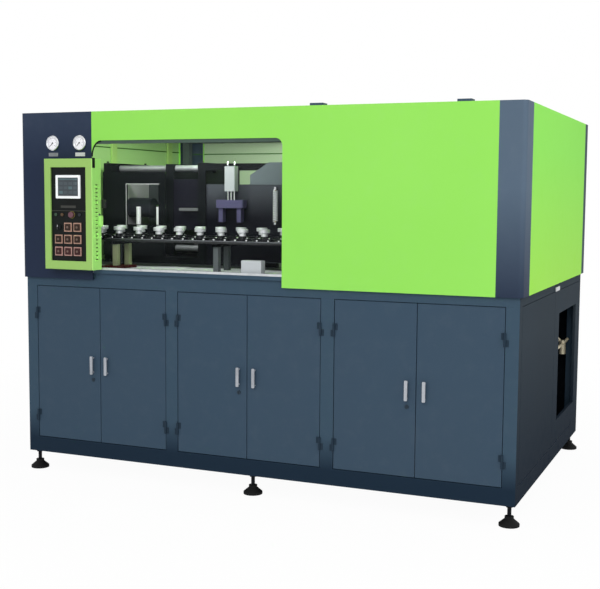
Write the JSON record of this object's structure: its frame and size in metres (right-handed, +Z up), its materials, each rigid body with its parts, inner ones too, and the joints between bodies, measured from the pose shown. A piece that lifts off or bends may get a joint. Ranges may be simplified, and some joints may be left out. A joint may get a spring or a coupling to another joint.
{
  "type": "blow moulding machine",
  "caption": "Stretch blow moulding machine with a cabinet on levelling feet, a guarded work space, control pod, chain of mandrels, oven and clamp.",
  "frame": {"origin": "on the floor, under the middle of the machine with its control pod", "axes": "+X to the right along the machine, +Y to the back, +Z up; the control pod is on the front at -Y"},
  "size_m": [2.8, 1.9774, 2.012],
  "materials": {
    "slate_paint": "satin",
    "navy_paint": "satin",
    "green_paint": "satin",
    "white_paint": "satin",
    "grey_paint": "satin",
    "blue_paint": "satin",
    "black_metal": "satin",
    "bright_steel": "brushed",
    "dark_steel": "brushed",
    "chrome": "polished",
    "aluminium": "satin",
    "black_rubber": "matt",
    "black_plastic": "matt",
    "grey_plastic": "matt",
    "white_plastic": "glossy",
    "beige_plastic": "matt",
    "amber_plastic": "glossy",
    "red_plastic": "glossy",
    "green_plastic": "glossy",
    "clear_sheet": "clear"
  },
  "bodies": {
    "machine": {"base_frame": "slate_paint", "table_plate": "bright_steel", "levelling_feet": "black_rubber", "base_side_panels": "slate_paint", "service_panel": "slate_paint", "rear_base_panels": "slate_paint", "door_hinges": "black_metal", "upper_frame": "slate_paint", "guard_tracks": "aluminium", "front_left_panel": "navy_paint", "front_skin": "green_paint", "corner_covers": "slate_paint", "side_skins": "green_paint", "rear_skins": "green_paint", "roof_panels": "green_paint", "pod_housing": "green_paint", "pod_fascia": "black_plastic", "touchscreen": "grey_plastic", "button_bezels": "beige_plastic", "gauge_cases": "bright_steel", "conveyor_frame": "slate_paint", "drive_chain": "bright_steel", "mandrels": "bright_steel", "star_wheels": "aluminium", "clamp_frame": "dark_steel", "tie_bars": "chrome", "mould_half_fixed": "aluminium", "clamp_cylinder": "aluminium", "transfer_gantry": "white_paint", "oven": "grey_paint", "air_tank": "white_paint", "filter_regulator": "chrome", "electrical_box": "grey_paint", "stretch_guides": "chrome", "junction_box": "grey_plastic", "coiled_air_hose": "white_plastic"},
    "door_1_left_leaf": {"door_1_left": "slate_paint"},
    "door_1_right_leaf": {"door_1_right": "slate_paint"},
    "door_2_left_leaf": {"door_2_left": "slate_paint"},
    "door_2_right_leaf": {"door_2_right": "slate_paint"},
    "door_3_left_leaf": {"door_3_left": "slate_paint"},
    "door_3_right_leaf": {"door_3_right": "slate_paint"},
    "guard_slider": {"guard_door": "clear_sheet", "guard_grip": "black_plastic"},
    "button_1": {"push_button_1": "red_plastic"},
    "button_2": {"push_button_2": "black_plastic"},
    "button_3": {"push_button_3": "black_plastic"},
    "button_4": {"push_button_4": "amber_plastic"},
    "button_5": {"push_button_5": "amber_plastic"},
    "button_6": {"push_button_6": "black_plastic"},
    "button_7": {"push_button_7": "red_plastic"},
    "button_8": {"push_button_8": "black_plastic"},
    "stop_button": {"emergency_stop": "red_plastic"},
    "selector": {"selector_knob": "green_plastic"},
    "needle_left": {"gauge_needle_left": "red_plastic"},
    "needle_right": {"gauge_needle_right": "red_plastic"},
    "platen": {"moving_platen": "dark_steel", "mould_half_moving": "aluminium"},
    "stretch": {"stretch_carriage": "bright_steel"},
    "transfer": {"transfer_head": "blue_paint"}
  },
  "joints": [
    {"name": "door_1_left_hinge", "type": "hinge", "parent": "machine", "child": "door_1_left_leaf", "pos_m": [-1.3185, -0.8715, 0.62], "axis": [0, 0, -1], "range_deg": [0, 90]},
    {"name": "door_1_right_hinge", "type": "hinge", "parent": "machine", "child": "door_1_right_leaf", "pos_m": [-0.4965, -0.8715, 0.62], "axis": [0, 0, 1], "range_deg": [0, 90]},
    {"name": "door_2_left_hinge", "type": "hinge", "parent": "machine", "child": "door_2_left_leaf", "pos_m": [-0.4235, -0.8715, 0.62], "axis": [0, 0, -1], "range_deg": [0, 90]},
    {"name": "door_2_right_hinge", "type": "hinge", "parent": "machine", "child": "door_2_right_leaf", "pos_m": [0.3915, -0.8715, 0.62], "axis": [0, 0, 1], "range_deg": [0, 90]},
    {"name": "door_3_left_hinge", "type": "hinge", "parent": "machine", "child": "door_3_left_leaf", "pos_m": [0.4645, -0.8715, 0.62], "axis": [0, 0, -1], "range_deg": [0, 90]},
    {"name": "door_3_right_hinge", "type": "hinge", "parent": "machine", "child": "door_3_right_leaf", "pos_m": [1.3185, -0.8715, 0.62], "axis": [0, 0, 1], "range_deg": [0, 90]},
    {"name": "guard_slide", "type": "slide", "parent": "machine", "child": "guard_slider", "axis": [1, 0, 0], "range_m": [0, 1.03]},
    {"name": "button_1_press", "type": "slide", "parent": "machine", "child": "button_1", "axis": [0, 1, 0], "range_m": [0, 0.004], "stiffness_N_per_m": 400},
    {"name": "button_2_press", "type": "slide", "parent": "machine", "child": "button_2", "axis": [0, 1, 0], "range_m": [0, 0.004], "stiffness_N_per_m": 400},
    {"name": "button_3_press", "type": "slide", "parent": "machine", "child": "button_3", "axis": [0, 1, 0], "range_m": [0, 0.004], "stiffness_N_per_m": 400},
    {"name": "button_4_press", "type": "slide", "parent": "machine", "child": "button_4", "axis": [0, 1, 0], "range_m": [0, 0.004], "stiffness_N_per_m": 400},
    {"name": "button_5_press", "type": "slide", "parent": "machine", "child": "button_5", "axis": [0, 1, 0], "range_m": [0, 0.004], "stiffness_N_per_m": 400},
    {"name": "button_6_press", "type": "slide", "parent": "machine", "child": "button_6", "axis": [0, 1, 0], "range_m": [0, 0.004], "stiffness_N_per_m": 400},
    {"name": "button_7_press", "type": "slide", "parent": "machine", "child": "button_7", "axis": [0, 1, 0], "range_m": [0, 0.004], "stiffness_N_per_m": 400},
    {"name": "button_8_press", "type": "slide", "parent": "machine", "child": "button_8", "axis": [0, 1, 0], "range_m": [0, 0.004], "stiffness_N_per_m": 400},
    {"name": "emergency_stop_press", "type": "slide", "parent": "machine", "child": "stop_button", "axis": [0, 1, 0], "range_m": [0, 0.005]},
    {"name": "selector_turn", "type": "hinge", "parent": "machine", "child": "selector", "pos_m": [-1.0995, -0.96, 1.38], "axis": [0, 1, 0], "range_deg": [-45, 45]},
    {"name": "gauge_left_turn", "type": "hinge", "parent": "machine", "child": "needle_left", "pos_m": [-1.184, -0.892, 1.834], "axis": [0, 1, 0], "range_deg": [0, 270], "stiffness_Nm_per_rad": 0.002},
    {"name": "gauge_right_turn", "type": "hinge", "parent": "machine", "child": "needle_right", "pos_m": [-1.01, -0.892, 1.834], "axis": [0, 1, 0], "range_deg": [0, 270], "stiffness_Nm_per_rad": 0.002},
    {"name": "clamp_slide", "type": "slide", "parent": "machine", "child": "platen", "axis": [-1, 0, 0], "range_m": [0, 0.15]},
    {"name": "stretch_lift", "type": "slide", "parent": "machine", "child": "stretch", "axis": [0, 0, 1], "range_m": [0, 0.23]},
    {"name": "transfer_drop", "type": "slide", "parent": "machine", "child": "transfer", "axis": [0, 0, -1], "range_m": [0, 0.06]}
  ]
}
